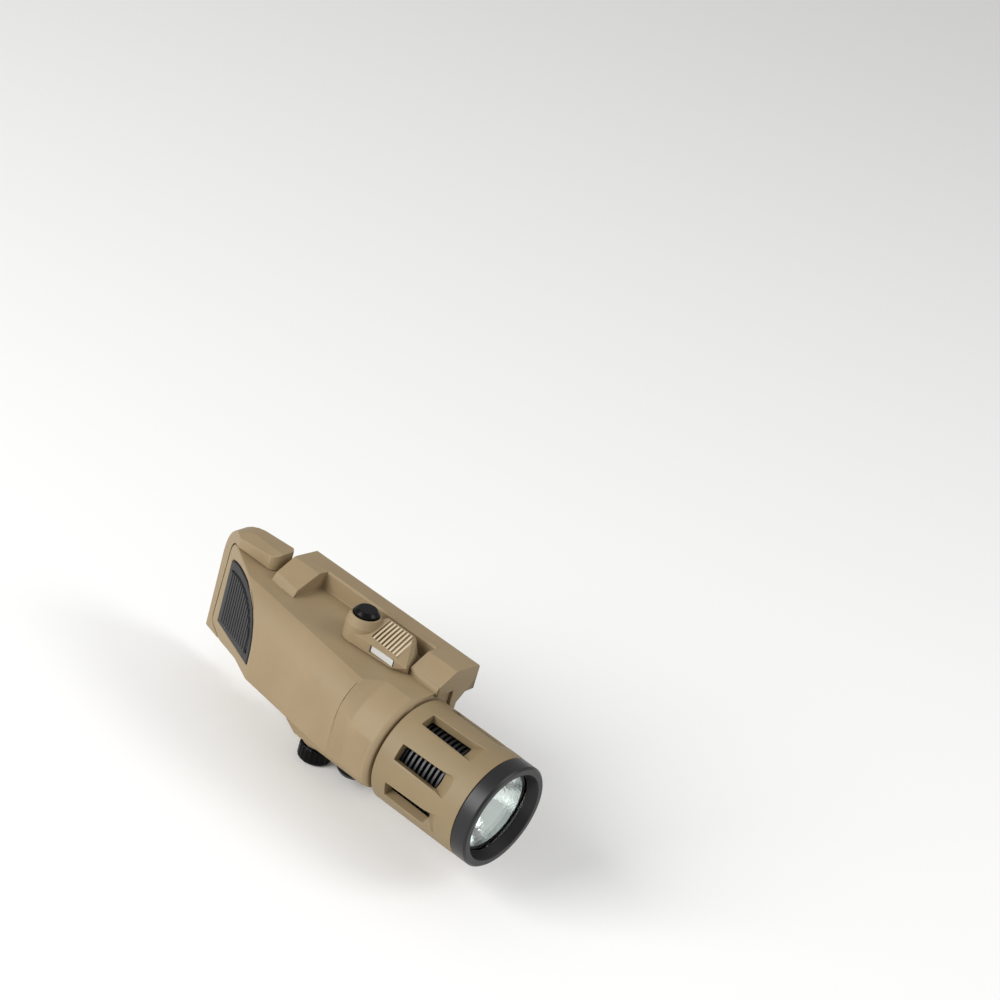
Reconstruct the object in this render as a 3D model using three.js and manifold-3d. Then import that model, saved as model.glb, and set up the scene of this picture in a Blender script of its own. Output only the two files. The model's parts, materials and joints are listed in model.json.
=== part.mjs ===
// Rail-mounted helmet flashlight: a polymer body with a slanted thumb button and a guard bail at the
// tail, a vented head with a finned core, and a side clamp for a 21.2 mm accessory rail.
// Millimetres. Inside the light, X runs along the beam, Y towards the rail and Z across the rail,
// counted from the middle of the bezel's front face; the outer group moves that to the rail seat.
import * as THREE from 'three';
import { mergeVertices } from 'three/addons/utils/BufferGeometryUtils.js';
import { ConvexGeometry } from 'three/addons/geometries/ConvexGeometry.js';
import Module from 'manifold-3d';

const wasm = await Module();
wasm.setup();

// Driving dimensions
const bezelR = 16;
const bezelEndX = -5;
const shroudR = 16.1;
const shroudEndX = -35.7;
const bodyFrontX = -36.2;
const frontTubeR = 17.3;
const floorZ = 16.9;
const undersideZ = -14.5;
const tailUndersideZ = -13.6;
const tailTopX = -122.9;
const tailBottomX = -124.1;
const tailGap = 0.35;
const seatY = 14.9;
const railZ = 3.3;
const railHalfTop = 7.7;
const railHalfWide = 10.6;
const clampFrontX = -35.4;
const clampRearX = -100.6;
const clampTopZ = 22.75;
const lipY = 21.6;
const recessFrontX = -46.7;
const recessRearX = -90.3;
const recessWallY = 14.7;
const cellAxisY = 0.5;
const cellR = 8.5;
const cellLength = 34;
const cellFrontX = -21.3;
const cellBoreR = 8.8;
const cellBoreEndX = -89.8;
const springBoreR = 5;
const springBoreEndX = -95.3;
const padAngle = THREE.MathUtils.degToRad(32);
const padOriginX = -120.5;
const padOriginY = 7.9;
const switchS = 13;
const switchZ = 1;
const leverX = -66.6;
const leverY = 5.6;
const camOffset = 1.2;
const camR = 2.2;
const lugTravel = 2 * camOffset;
const knobX = -70.5;
const guideX = -56;
const screwY = 5;
const bailX = -105.5;
const bailY = 10.4;
const slotCount = 8;
const slotFirstAngle = 16.2;
const finR = 12.9;
const finCount = 9;
const finPitch = 1.65;
const ridgeRun = 0.1;

// Materials: one per finish, copied for each mesh
const finishes = {
  tan: { color: 0xa08c6c, roughness: 0.62, metalness: 0 },
  blackAnodised: { color: 0x222124, roughness: 0.42, metalness: 0.55 },
  rubber: { color: 0x3d3c3e, roughness: 0.75, metalness: 0 },
  blackPlastic: { color: 0x151515, roughness: 0.3, metalness: 0 },
  white: { color: 0xe8e8e6, roughness: 0.6, metalness: 0 },
  glass: { color: 0xcfe6dc, roughness: 0.05, metalness: 0 },
  mirror: { color: 0xe6e8ea, roughness: 0.12, metalness: 1 },
  steel: { color: 0xb5b6b8, roughness: 0.35, metalness: 1 },
  brass: { color: 0xb9964f, roughness: 0.35, metalness: 1 },
  board: { color: 0x1f5a34, roughness: 0.5, metalness: 0 },
  emitter: { color: 0xe9d66a, roughness: 0.3, metalness: 0 },
  cellWrap: { color: 0x2f3f66, roughness: 0.4, metalness: 0.1 },
};

// Solids from three.js geometry, joined and cut by manifold-3d

function signedVolume(vertices, triangles) {
  const [a, b, c] = [new THREE.Vector3(), new THREE.Vector3(), new THREE.Vector3()];
  let volume = 0;
  for (let i = 0; i < triangles.length; i += 3) {
    a.fromArray(vertices, triangles[i] * 3);
    b.fromArray(vertices, triangles[i + 1] * 3);
    c.fromArray(vertices, triangles[i + 2] * 3);
    volume += a.dot(b.cross(c)) / 6;
  }
  return volume;
}

function solid(geometry) {
  const bare = geometry.clone();
  bare.deleteAttribute('normal');
  bare.deleteAttribute('uv');
  const merged = mergeVertices(bare, 1e-4);
  const vertices = Float32Array.from(merged.attributes.position.array);
  const index = merged.index.array;
  const triangles = [];
  for (let i = 0; i < index.length; i += 3) {
    const [a, b, c] = [index[i], index[i + 1], index[i + 2]];
    if (a !== b && b !== c && c !== a) triangles.push(a, b, c);
  }
  if (signedVolume(vertices, triangles) < 0) triangles.reverse();
  const triVerts = Uint32Array.from(triangles);
  return new wasm.Manifold(new wasm.Mesh({ numProp: 3, vertProperties: vertices, triVerts }));
}

function toGeometry(body) {
  const mesh = body.simplify(0.005).getMesh();
  const geometry = new THREE.BufferGeometry();
  geometry.setAttribute('position', new THREE.BufferAttribute(mesh.vertProperties, 3));
  geometry.setIndex(new THREE.BufferAttribute(mesh.triVerts, 1));
  geometry.computeVertexNormals();
  return geometry;
}

function joined(...pieces) {
  return pieces.reduce((sum, piece) => sum.add(piece));
}

function cut(body, ...tools) {
  return tools.reduce((rest, tool) => rest.subtract(tool), body);
}

function box(x0, x1, y0, y1, z0, z1) {
  const geometry = new THREE.BoxGeometry(x1 - x0, y1 - y0, z1 - z0);
  return solid(geometry.translate((x0 + x1) / 2, (y0 + y1) / 2, (z0 + z1) / 2));
}

// A cylinder along Z with its middle line at x, y
function rodZ(radius, x, y, z0, z1, sides = 32) {
  const geometry = new THREE.CylinderGeometry(radius, radius, z1 - z0, sides);
  return solid(geometry.rotateX(Math.PI / 2).translate(x, y, (z0 + z1) / 2));
}

// A solid turned about the X direction through axisY, from [radius, x] points
function turned(points, sides = 48, axisY = 0) {
  const closed = [...points, points[0]].map(([r, x]) => new THREE.Vector2(r, x));
  const geometry = new THREE.LatheGeometry(closed, sides);
  return solid(geometry.rotateZ(-Math.PI / 2).translate(0, axisY, 0));
}

// A solid turned about the Z direction through x, y, from [radius, z] points
function turnedZ(points, x, y, sides = 32) {
  const closed = [...points, points[0]].map(([r, z]) => new THREE.Vector2(r, z));
  const geometry = new THREE.LatheGeometry(closed, sides);
  return solid(geometry.rotateX(Math.PI / 2).translate(x, y, 0));
}

function outline(points) {
  return new THREE.Shape(points.map(([a, b]) => new THREE.Vector2(a, b)));
}

function extruded(shape, depth, curveSegments = 8) {
  return new THREE.ExtrudeGeometry(shape, { depth, bevelEnabled: false, curveSegments });
}

// An outline of [y, z] points carried from x0 to x1
function prismX(points, x0, x1) {
  const basis = new THREE.Matrix4().makeBasis(
    new THREE.Vector3(0, 1, 0), new THREE.Vector3(0, 0, 1), new THREE.Vector3(1, 0, 0));
  return solid(extruded(outline(points), x1 - x0).applyMatrix4(basis).translate(x0, 0, 0));
}

// An outline of [x, y] points, or a shape, carried from z0 to z1
function prismZ(shapeOrPoints, z0, z1) {
  const shape = shapeOrPoints instanceof THREE.Shape ? shapeOrPoints : outline(shapeOrPoints);
  return solid(extruded(shape, z1 - z0).translate(0, 0, z0));
}

function hull(points) {
  return solid(new ConvexGeometry(points.map(([x, y, z]) => new THREE.Vector3(x, y, z))));
}

// Everything beyond the plane through three points, on the side of a fourth
function beyond(a, b, c, outside) {
  const reach = 300;
  const [pa, pb, pc, po] = [a, b, c, outside].map((p) => new THREE.Vector3(...p));
  const normal = new THREE.Plane().setFromCoplanarPoints(pa, pb, pc).normal;
  if (normal.dot(po.clone().sub(pa)) < 0) normal.negate();
  const turn = new THREE.Quaternion().setFromUnitVectors(new THREE.Vector3(0, 0, 1), normal);
  const geometry = new THREE.BoxGeometry(reach, reach, reach).translate(0, 0, reach / 2);
  return solid(geometry.applyQuaternion(turn).translate(pa.x, pa.y, pa.z));
}

// A coil spring along X from x0 to x1
function coilX(radius, wire, x0, x1, turns, axisY, endRadius = radius) {
  const steps = Math.round(turns * 12);
  const points = [];
  for (let i = 0; i <= steps; i += 1) {
    const t = i / steps;
    const angle = t * turns * 2 * Math.PI;
    const r = radius + (endRadius - radius) * t;
    points.push(new THREE.Vector3(x0 + (x1 - x0) * t, axisY + r * Math.cos(angle), r * Math.sin(angle)));
  }
  const section = outline([0, 1, 2, 3, 4, 5].map((k) => [
    wire * Math.cos(k * Math.PI / 3), wire * Math.sin(k * Math.PI / 3)]));
  const path = new THREE.CatmullRomCurve3(points);
  return solid(new THREE.ExtrudeGeometry(section, { steps, extrudePath: path, bevelEnabled: false }));
}

// The button's slanted face: s runs forward and outward along it, z up, d is the depth out of it

const padBasis = new THREE.Matrix4().makeBasis(
  new THREE.Vector3(Math.cos(padAngle), -Math.sin(padAngle), 0),
  new THREE.Vector3(0, 0, 1),
  new THREE.Vector3(-Math.sin(padAngle), -Math.cos(padAngle), 0),
).setPosition(padOriginX, padOriginY, 0);

function padPrism(shape, d0, d1) {
  return solid(extruded(shape, d1 - d0, 6).translate(0, 0, d0).applyMatrix4(padBasis));
}

function padRod(radius, s, z, d0, d1, sides = 32) {
  const geometry = new THREE.CylinderGeometry(radius, radius, d1 - d0, sides);
  return solid(geometry.rotateX(Math.PI / 2).translate(s, z, (d0 + d1) / 2).applyMatrix4(padBasis));
}

// The shield outline of the button face, drawn inset all round
function padShape(inset) {
  const shape = new THREE.Shape();
  const left = 1.1 + inset;
  shape.moveTo(left, 11.6 - inset * 0.7);
  shape.lineTo(left, -10.2 + inset * 0.8);
  shape.lineTo(35.0 - inset * 0.9, -2.8 + inset * 0.85);
  shape.bezierCurveTo(35.6 - inset, 6.9, 30.6 - inset, 15.4 - inset, 18.2, 15.3 - inset);
  shape.bezierCurveTo(12, 15.2 - inset, 6 + inset, 14.0 - inset, left, 11.6 - inset * 0.7);
  return shape;
}

// Outer form of the body at one station: floor, rounded shoulder, side wall and keel
const shoulderX = -51.4;
const shoulderEndX = -46.9;
const flatY = -16.1;

function creaseY(x) {
  return -9.3 + (shoulderX - x) * 0.152;
}

function sideY(x) {
  return -16.6 + (shoulderX - x) * 0.137;
}

function station(x) {
  const top = 6 - (shoulderX - x) * 0.05;
  const across = creaseY(x) - sideY(x);
  const up = floorZ - top;
  const radius = (across * across + up * up) / (2 * across);
  const sweep = Math.atan2(up, radius - across);
  const points = [[x, seatY, floorZ], [x, seatY, -20], [x, sideY(x), -20]];
  const pieces = 6;
  for (let i = 0; i <= pieces; i += 1) {
    const angle = sweep * i / pieces;
    points.push([x, sideY(x) + radius * (1 - Math.cos(angle)), top + radius * Math.sin(angle)]);
  }
  return points;
}

// The tail's side view, rounded at both ends and carried across: the body fills it and the bail clears it
const tailFacet = [[-125.3, 10.9, -17.2], [-112.8, 3.1, -12.7], [-90, 0, -10.7]];
const acrossY = new THREE.Matrix4().makeRotationX(Math.PI / 2).setPosition(0, 30, 0);

function tailBlock(gap) {
  const top = floorZ + gap;
  const bottom = tailUndersideZ - gap;
  const shape = new THREE.Shape();
  shape.moveTo(-90, bottom);
  shape.lineTo(-90, top);
  shape.lineTo(-116.6, top);
  shape.quadraticCurveTo(tailTopX - gap, top, tailTopX - gap, 11);
  shape.lineTo(tailBottomX - gap, -11.2);
  shape.quadraticCurveTo(tailBottomX - gap, bottom, -121.8, bottom);
  shape.lineTo(-90, bottom);
  return solid(extruded(shape, 60).applyMatrix4(acrossY));
}

function bodyOuter() {
  const rear = hull([...station(shoulderX), ...station(tailBottomX)]);
  const front = turned([[0, bodyFrontX], [frontTubeR - 0.9, bodyFrontX],
    [frontTubeR - 0.4, bodyFrontX - 0.5], [frontTubeR, bodyFrontX - 1.4], [frontTubeR, shoulderEndX],
    [0, shoulderEndX]], 64);
  const shoulderBack = station(shoulderX).map(([, y, z]) => [shoulderX - 0.3, y, z]);
  const flatHalf = Math.sqrt(frontTubeR * frontTubeR - flatY * flatY);
  const frontRing = [[shoulderEndX + 0.1, flatY, flatHalf], [shoulderEndX + 0.1, flatY, -flatHalf]];
  for (let i = 0; i < 64; i += 1) {
    const angle = i * Math.PI / 32;
    const at = [frontTubeR * Math.cos(angle), frontTubeR * Math.sin(angle)];
    if (at[0] < 0 && at[0] > flatY) frontRing.push([shoulderEndX + 0.1, ...at]);
  }
  const shoulder = hull([...shoulderBack, ...station(shoulderX), ...frontRing, [shoulderEndX, 0, floorZ]]);
  const deck = box(clampRearX, clampFrontX - 1, 0, seatY, undersideZ, floorZ);
  const keel = joined(
    beyond([-104.3, -2.2, -9], [-91.7, -10.9, -6.5], [-43, -16, -7.5], [-80, -30, -40]),
    beyond([-43, -16, -7.5], [-52, -16.6, -6.25], [-91.7, -10.9, -6.5], [-80, -30, -40]));
  const tailKeel = beyond(...tailFacet, [-110, 0, -60]);
  const flat = box(shoulderEndX, bodyFrontX - 2.2, -30, flatY, -30, 30);
  const pastTail = box(-135, clampRearX - 8, -40, 40, -60, 60).subtract(tailBlock(0));
  return cut(joined(rear, front, shoulder, deck), keel.intersect(tailKeel), flat, pastTail,
    box(-130, bodyFrontX + 1, -40, 40, floorZ, 60),
    box(-130, clampRearX - 0.3, 14.2, 40, -60, 60),
    box(-130, clampRearX - 0.3, -40, 40, -60, tailUndersideZ),
    box(-130, clampFrontX + 1, seatY, 40, -60, 60),
    box(-130, clampFrontX + 1, seatY - 0.8, 40, -60, railZ - railHalfTop - 0.1),
    box(clampRearX - 1, -46, -40, 40, -60, undersideZ),
    padPrism(outline([[-40, -60], [60, -60], [60, 60], [-40, 60]]), 0, 60));
}

// The rail lip along the clamp, with the blocks before and behind the lever's recess
function clampBlock() {
  const bevelFoot = railZ + railHalfTop;
  const bevelTop = railZ + railHalfWide;
  const bevelRun = railHalfWide - railHalfTop;
  const ridge = prismX([[12, 0], [seatY, 0], [seatY, bevelFoot], [seatY + bevelRun, bevelTop],
    [lipY, bevelTop], [lipY, 21.4], [lipY - 0.7, 22.06], [recessWallY + 0.5, 22.5], [recessWallY, 22.2],
    [recessWallY, floorZ - ridgeRun], [12, floorZ - ridgeRun]], clampRearX, clampFrontX);
  const blockAt = (x, foot, edge) => [[x, foot, 16], [x, foot, floorZ + 0.3], [x, edge, 19.3],
    [x, 11.2, clampTopZ], [x, 12.4, clampTopZ], [x, 15.4, 22.5], [x, 15.4, 16]];
  const rear = hull([...blockAt(clampRearX, 3.4, 4.9), ...blockAt(recessRearX, 1.9, 3.0)]);
  const front = hull([...blockAt(recessFrontX, 5.0, 5.0), ...blockAt(clampFrontX, 5.0, 5.0)]);
  return joined(ridge, rear, front);
}

function bodyHollows() {
  const bore = turned([[0, -30], [cellBoreR, -30], [cellBoreR, cellBoreEndX], [springBoreR, cellBoreEndX],
    [springBoreR, springBoreEndX], [0, springBoreEndX]], 48, cellAxisY);
  const lugWay = box(leverX - 2.7, leverX + 2.7, seatY - lugTravel - 2.1, seatY + 1, -5, 11.1);
  const tongueWay = box(leverX - 5.3, leverX + 5.3, -4.2, seatY + 0.2, 9.9, 12.5);
  const shaftWay = rodZ(2.6, leverX, leverY, 11, floorZ + 1);
  const detentWay = rodZ(1.2, leverX - 4, leverY, 13.2, floorZ + 1, 24);
  const insertWay = rodZ(3.1, knobX, screwY, undersideZ - 1, -9.8);
  const guideWay = rodZ(1.7, guideX, screwY, undersideZ - 1, -10.2);
  const springWay = rodZ(2.9, guideX, screwY, undersideZ - 1, -11.4);
  const upperPin = rodZ(1.3, bailX, bailY, 11.8, floorZ + 1, 24);
  const lowerPin = rodZ(1.3, bailX, bailY, tailUndersideZ - 1, -9.2, 24);
  const padWay = padPrism(padShape(0), -1.45, 3);
  const buttonWay = padPrism(padShape(2.65), -2.2, 3);
  const switchWay = padRod(5.3, switchS, switchZ, -9, 0);
  const wireWay = box(-107, springBoreEndX + 1, 3, 4.6, 0, 1.6);
  return [bore, lugWay, tongueWay, shaftWay, detentWay, insertWay, guideWay, springWay, upperPin, lowerPin,
    padWay, buttonWay, switchWay, wireWay];
}

function mainBody() {
  const neck = turned([[11, -38], [13.6, -38], [13.6, -34.1], [12.7, -34.1], [12.7, -32.7], [13.6, -32.7],
    [13.6, -31.4], [11, -31.4]]);
  const neckCore = turned([[0, -38], [11.1, -38], [11.1, -31.4], [0, -31.4]]);
  const roomR = shroudR + 0.4;
  const shroudRoom = turned([[12, bodyFrontX], [roomR, bodyFrontX], [roomR, -30], [12, -30]], 64);
  const shell = joined(cut(joined(bodyOuter(), clampBlock()), shroudRoom), neck, neckCore);
  return cut(shell, ...bodyHollows());
}

// Head

function bezelRing() {
  return turned([[12.4, -3], [13.7, -0.05], [13.9, 0], [15.4, 0], [bezelR, -0.6], [bezelR, bezelEndX],
    [14.8, bezelEndX], [14.8, -10], [14.25, -10], [14.25, -3.2], [12.4, -3.2]], 64);
}

function lens() {
  return turned([[0, -3.5], [13.6, -3.5], [13.9, -3.8], [13.9, -5.3], [0, -5.3]]);
}

// A ring of round section about the X axis
function ringX(radius, wire, x) {
  const geometry = new THREE.TorusGeometry(radius, wire, 6, 28);
  return solid(geometry.rotateY(Math.PI / 2).translate(x, 0, 0));
}

function reflector() {
  const mouthX = -5.6;
  const focal = 11.6;
  const depth = 10.6;
  const inner = [];
  const outer = [];
  const steps = 6;
  for (let i = 0; i <= steps; i += 1) {
    const x = mouthX - depth * i / steps;
    const r = Math.sqrt(11.9 * 11.9 - focal * (mouthX - x));
    inner.push([r, x]);
    outer.unshift([Math.min(r + 1, 12.3), x - (i === 0 ? 0 : 0.2)]);
  }
  return turned([...inner, ...outer.slice(0, -1), [12.3, mouthX - 1.3], [12.3, mouthX]], 40);
}

function heatSink() {
  const innerWall = [[13.1, -7.3], [13.1, -8.6], [10.7, -11.5], [9.4, -16.1], [9.4, -17.6], [0, -17.6],
    [0, -19], [9.3, -19], [9.3, -30.6]];
  const outerWall = [[finR, -30.6]];
  for (let i = finCount - 1; i >= 0; i -= 1) {
    const x = -15.3 - i * finPitch;
    outerWall.push([finR, x - 0.9], [11.2, x - 0.9], [11.2, x], [finR, x]);
  }
  const core = turned([...innerWall, ...outerWall, [finR, -10.2], [13.95, -10.2], [13.95, -7.3]], 32);
  const wireWay = turned([[0, -17], [1.2, -17], [1.2, -20], [0, -20]], 12, 5.5);
  return core.subtract(wireWay);
}

// The vented shroud: windows over the fins, each running out in a widening ramp towards the bezel
function headShroud() {
  const tube = turned([[15.1, -5.3], [bezelR, -5.3], [shroudR, -8], [shroudR, shroudEndX + 0.5],
    [shroudR - 0.5, shroudEndX], [14, shroudEndX], [14, -30.9], [13.2, -30.9], [13.2, -10.5],
    [15.1, -10.5]], 64);
  const cutters = [];
  for (let i = 0; i < slotCount; i += 1) {
    const angle = THREE.MathUtils.degToRad(slotFirstAngle + i * 360 / slotCount);
    const window = hull([[-30.1, -2.1, 12.5], [-30.1, 2.1, 12.5], [-16.2, -2.5, 12.5], [-16.2, 2.5, 12.5],
      [-30.1, -2.5, 16], [-30.1, 2.5, 16], [-16.2, -2.8, 16], [-16.2, 2.8, 16],
      [-30.1, -2.5, 18], [-30.1, 2.5, 18], [-16.2, -2.8, 18], [-16.2, 2.8, 18]]);
    const ramp = hull([[-16.4, -2.5, 12.7], [-16.4, 2.5, 12.7], [-10.7, -3.4, 16.2], [-10.7, 3.4, 16.2],
      [-16.4, -2.8, 16], [-16.4, 2.8, 16], [-16.4, -2.8, 18], [-16.4, 2.8, 18], [-10.7, -3.5, 18],
      [-10.7, 3.5, 18]]);
    const turn = THREE.MathUtils.radToDeg(angle) - 90;
    cutters.push(window.add(ramp).rotate([turn, 0, 0]));
  }
  return cut(tube, ...cutters);
}

function ledEmitter() {
  const dome = solid(new THREE.SphereGeometry(1.5, 16, 8).translate(-15.7, 0, 0));
  const front = box(-16, -12, -4, 4, -4, 4);
  return box(-16.25, -15.6, -1.8, 1.8, -1.8, 1.8).add(dome.intersect(front));
}

function ledBoard() {
  return turned([[0, -16.6], [9, -16.6], [9, -17.4], [0, -17.4]], 24);
}

function driverBoard() {
  const disc = turned([[0, -19.6], [8.5, -19.6], [8.5, -20.4], [0, -20.4]], 32, cellAxisY);
  return joined(disc, box(-19.7, -19.2, -4, -1, -3, 3), box(-19.7, -19.3, 2, 6, -5, -2));
}

function frontContact() {
  return turned([[0, -20.6], [2.6, -20.6], [2.6, -21], [0, -21]], 24, cellAxisY);
}

function tailContact() {
  return turned([[0, -94.2], [4.7, -94.2], [4.7, -95], [0, -95]], 32, cellAxisY);
}

// One lithium cell: crimped can with a raised positive button towards the front
function cell(frontX) {
  return turned([[0, frontX], [3.2, frontX], [3.2, frontX - 0.9], [cellR - 0.6, frontX - 0.9],
    [cellR, frontX - 1.4], [cellR, frontX - cellLength + 0.4], [cellR - 0.4, frontX - cellLength + 0.1],
    [0, frontX - cellLength + 0.1]], 32, cellAxisY);
}

// Tail: button, switch and bail

function padSurround() {
  return padPrism(padShape(0.3), -1.2, 0.25).subtract(padPrism(padShape(2.7), -3, 3));
}

function buttonPad() {
  const face = padPrism(padShape(3.0), -0.95, 0.75);
  const stub = padRod(1.6, switchS, switchZ, -1.5, -0.5, 24);
  const grooves = [];
  const pitch = 2.1;
  for (let i = 0; i < 14; i += 1) {
    const s = 6.2 + i * pitch;
    grooves.push(padPrism(outline([[s, -30], [s + 0.8, -30], [s + 0.8, 30], [s, 30]]), 0.3, 2));
  }
  return cut(face.add(stub), ...grooves);
}

function switchPlunger() {
  return padRod(1.5, switchS, switchZ, -4.2, -1.8, 24);
}

function tactSwitch() {
  const s0 = switchS - 3;
  const s1 = switchS + 3;
  const z0 = switchZ - 3;
  const z1 = switchZ + 3;
  const housing = padPrism(outline([[s0, z0], [s1, z0], [s1, z1], [s0, z1]]), -6.8, -3.3);
  return housing.subtract(padRod(1.7, switchS, switchZ, -5.2, -3));
}

function switchBoard() {
  return padRod(5, switchS, switchZ, -8, -7.1);
}

// The guard bail: two arms joined across the tail, its outer edge in line with the button's face
function bail() {
  const outerX = -128;
  const armNearY = 6.1;
  const armFarY = 14.7;
  const armEndX = -102.8;
  const plan = new THREE.Shape();
  plan.moveTo(padOriginX + (padOriginY - armNearY) / Math.tan(padAngle), armNearY);
  plan.lineTo(armEndX - 3, armNearY);
  plan.absarc(armEndX - 3, armNearY + 3, 3, -Math.PI / 2, 0, false);
  plan.lineTo(armEndX, armFarY - 1.5);
  plan.lineTo(armEndX - 1.5, armFarY);
  plan.lineTo(outerX + 0.8, armFarY);
  plan.lineTo(outerX, armFarY - 0.8);
  plan.lineTo(outerX, padOriginY - Math.tan(padAngle) * (outerX - padOriginX));
  plan.closePath();
  const sideView = new THREE.Shape();
  sideView.moveTo(-100, -19.8);
  sideView.lineTo(outerX + 2, -19.8);
  sideView.lineTo(outerX, -17.8);
  sideView.lineTo(outerX, 8.5);
  sideView.bezierCurveTo(outerX + 0.3, 15.5, -123.5, 20.8, -116, 21.7);
  sideView.lineTo(-100, 22.7);
  const sweep = solid(extruded(sideView, 60).applyMatrix4(acrossY));
  const topBevel = beyond([-118, armNearY, 20.2], [-104, armNearY, 21.6], [-110, 10.6, 22.4], [-110, 0, 40]);
  const facet = beyond(...tailFacet, [-110, 0, -60]);
  const pinHoles = rodZ(1.3, bailX, bailY, -16.4, 20.6, 24);
  return cut(prismZ(plan, -24, 24).intersect(sweep), tailBlock(tailGap), topBevel, facet, pinHoles);
}

// Lever and its lock

function leverBody() {
  const hub = turnedZ([[0, 17.2], [5.3, 17.2], [5.3, 22.4], [4.5, 25], [0, 25]], leverX, leverY, 40);
  const arm = hull([[-66.6, 0.4, 17.2], [-60.5, 1.7, 17.2], [-51.2, 1.7, 17.2], [-46.6, 4.2, 17.2],
    [-48.9, 11.4, 17.2], [-66.6, 10.8, 17.2], [-62.6, 1.7, 20.4], [-50.6, 1.7, 20.3], [-46.4, 2.6, 19.5],
    [-66, 0.6, 20.6], [-62.2, 9.6, 24.9], [-52, 9.6, 24.9], [-48.3, 7.4, 21.4], [-51.1, 10.6, 23.8],
    [-66, 10.6, 22], [-62.2, 10.6, 24.6], [-52, 10.6, 24.6]]);
  const grooves = [];
  for (let i = 0; i < 10; i += 1) {
    const x = -61 + i * 1.28;
    grooves.push(hull([[x, 2.9, 20.6], [x + 0.62, 2.9, 20.6], [x, 9.9, 24.5], [x + 0.62, 9.9, 24.5],
      [x, 2.9, 23], [x + 0.62, 2.9, 23], [x, 9.9, 27], [x + 0.62, 9.9, 27]]));
  }
  const shaftSeat = rodZ(2.6, leverX, leverY, 17, 18.6);
  const screwWay = rodZ(1.4, leverX, leverY, 18, 20, 24);
  const headWay = rodZ(3.1, leverX, leverY, 19.8, 24);
  const capSeat = rodZ(3.95, leverX, leverY, 23.3, 26, 40);
  const labelSeat = box(-59.2, -50.5, 1, 2.3, 17.8, 20.2);
  return cut(joined(hub, arm), ...grooves, shaftSeat, screwWay, headWay, capSeat, labelSeat);
}

function leverLabel() {
  return box(-59, -50.7, 1.6, 2.0, 18, 20);
}

function leverShaft() {
  const cam = rodZ(camR, leverX, leverY + camOffset, 10.1, 12.35, 32);
  const shaft = rodZ(2.5, leverX, leverY, 12.3, 18.4, 32);
  return joined(cam, shaft).subtract(rodZ(1.3, leverX, leverY, 13.5, 19, 24));
}

function leverScrew() {
  const head = rodZ(2.4, leverX, leverY, 20, 21, 24);
  const socket = new THREE.CylinderGeometry(1.2, 1.2, 1, 6).rotateX(Math.PI / 2);
  const shank = rodZ(1.15, leverX, leverY, 13.8, 20.1, 24);
  return joined(head, shank).subtract(solid(socket.translate(leverX, leverY, 20.9)));
}

function lockButton() {
  return turnedZ([[0, 22.8], [2.6, 22.8], [2.6, 24.5], [3.75, 24.5], [3.75, 25.7], [2.9, 26.6], [0, 26.6]],
    leverX, leverY, 32);
}

function lockSpring() {
  const coil = coilX(2.1, 0.16, 0, 1.1, 2, 0);
  return coil.rotate([0, -90, 0]).translate([leverX, leverY, 21.35]);
}

function recoilLug() {
  const bar = box(leverX - 2.5, leverX + 2.5, 12.9, 17.2, -4, 10.6);
  const tongue = box(leverX - 5, leverX + 5, -1.5, 14.2, 10.2, 12.2);
  const slot = box(leverX - camR - 1.55, leverX + camR + 1.55, leverY + camOffset - 2.55,
    leverY + camOffset + 2.55, 9, 13);
  return joined(bar, tongue).subtract(slot);
}

// Underside clamp

function clampJaw() {
  const wide = railZ - railHalfWide;
  const profile = [[-1.3, undersideZ - 0.3], [seatY + 0.3, undersideZ - 0.3], [seatY + 0.3, wide - 0.8],
    [17.3, wide - 0.8], [18.1, wide - 0.3], [20.9, wide + 2.5], [lipY, wide + 2.5], [lipY, -17.6],
    [18.8, -20.3], [-0.7, -20.3], [-1.3, -19.7]];
  const bar = prismX(profile, -82.5, -47.5);
  const rearEnd = beyond([-82, 0, -15.2], [-82, 10, -15.2], [-74.6, 0, -20.3], [-90, 0, -20]);
  const boss = rodZ(4.9, knobX, screwY, -21.6, -20);
  const screwWay = rodZ(2.15, knobX, screwY, -30, 0);
  const guideWay = rodZ(1.6, guideX, screwY, -30, 0);
  return cut(joined(bar, boss), rearEnd, screwWay, guideWay);
}

function threadInsert() {
  return rodZ(3, knobX, screwY, undersideZ + 0.1, -10).subtract(rodZ(2.1, knobX, screwY, -20, 0));
}

function thumbScrew() {
  return rodZ(2, knobX, screwY, -26, -11.2);
}

function knobWasher() {
  return rodZ(4.3, knobX, screwY, -22.15, -21.75).subtract(rodZ(2.15, knobX, screwY, -30, 0));
}

// The knurled thumb knob, fluted round its rim
function thumbKnob() {
  const flutes = 20;
  const shape = new THREE.Shape();
  for (let i = 0; i < flutes; i += 1) {
    const rim = [[0, 5.2], [0.45, 5.2], [0.6, 4.8], [0.85, 4.8]];
    for (const [part, radius] of rim) {
      const angle = (i + part) * 2 * Math.PI / flutes;
      const at = [radius * Math.cos(angle), radius * Math.sin(angle)];
      if (i === 0 && part === 0) shape.moveTo(...at);
      else shape.lineTo(...at);
    }
  }
  const fluted = prismZ(shape, -27.6, -22.3).translate([knobX, screwY, 0]);
  const rounded = turnedZ([[0, -27.6], [4.4, -27.6], [5.3, -26.8], [5.3, -22.9], [4.7, -22.3], [0, -22.3]],
    knobX, screwY, 40);
  return fluted.intersect(rounded).subtract(rodZ(2.1, knobX, screwY, -26.2, -20));
}

function guideScrew() {
  return turnedZ([[0, -24.4], [2.4, -24.1], [4.2, -23.2], [5.1, -21.9], [5.1, -20.6], [1.5, -20.6],
    [1.5, -10.6], [0, -10.6]], guideX, screwY, 32);
}

function jawSpring() {
  const coil = coilX(2.25, 0.28, 0, 2.3, 2.5, 0);
  return coil.rotate([0, -90, 0]).translate([guideX, screwY, -14.1]);
}

// Assembly

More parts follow.
